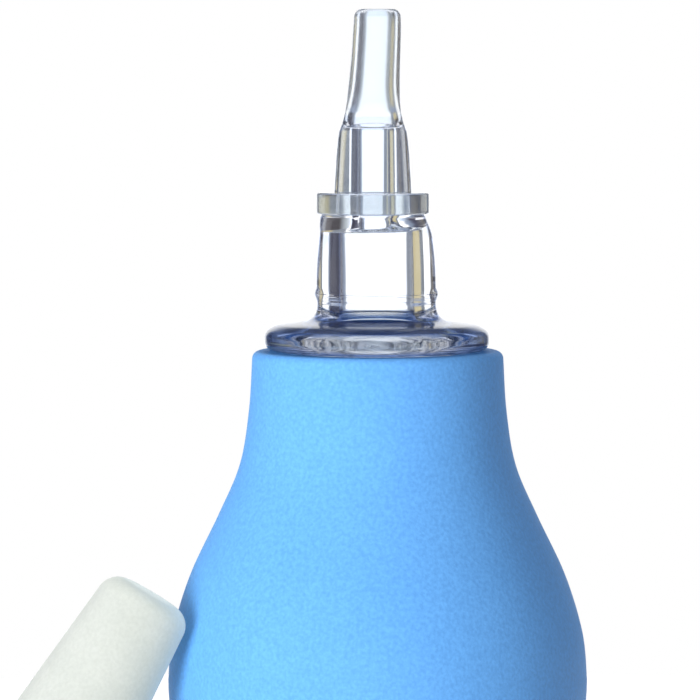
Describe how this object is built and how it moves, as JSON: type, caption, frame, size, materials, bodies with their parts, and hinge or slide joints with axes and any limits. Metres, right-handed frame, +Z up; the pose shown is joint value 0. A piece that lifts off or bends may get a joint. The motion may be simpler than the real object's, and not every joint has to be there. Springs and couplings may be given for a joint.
{
  "type": "nasal aspirator",
  "caption": "Hand-squeezed bulb aspirator for a baby's nose: soft pear-shaped bulb, clear flanged collector, soft round-ended tip with a seal ring, and a loose tapered cap.",
  "frame": {"origin": "centre of the bulb's flat base, on the surface it stands on", "axes": "+Z up along the common axis of bulb, collector, ring and tip; -X towards the loose cap; -Y to the viewer in front"},
  "size_m": [0.0781, 0.05, 0.1048],
  "materials": {
    "bulb_rubber": "matte, fine grained",
    "clear_plastic": "clear, polished",
    "soft_clear": "clear, soft, polished",
    "milky_silicone": "milky, translucent",
    "cap_plastic": "whitish, slightly translucent"
  },
  "bodies": {
    "bulb": {"squeeze_bulb": "bulb_rubber"},
    "collector": {"collector": "clear_plastic"},
    "tip": {"nozzle_tip": "soft_clear"},
    "ring": {"seal_ring": "milky_silicone"},
    "cap": {"cap": "cap_plastic"}
  },
  "joints": [
    {"name": "collector_pull", "type": "slide", "parent": "bulb", "child": "collector", "axis": [0, 0, 1], "range_m": [0, 0.016]},
    {"name": "tip_pull", "type": "slide", "parent": "collector", "child": "tip", "axis": [0, 0, 1], "range_m": [0, 0.012]},
    {"name": "ring_slip", "type": "slide", "parent": "collector", "child": "ring", "axis": [0, 0, 1], "range_m": [0, 0.026]},
    {"name": "cap_lift", "type": "slide", "parent": "bulb", "child": "cap", "axis": [0, 0, 1], "range_m": [0, 0.07]}
  ]
}
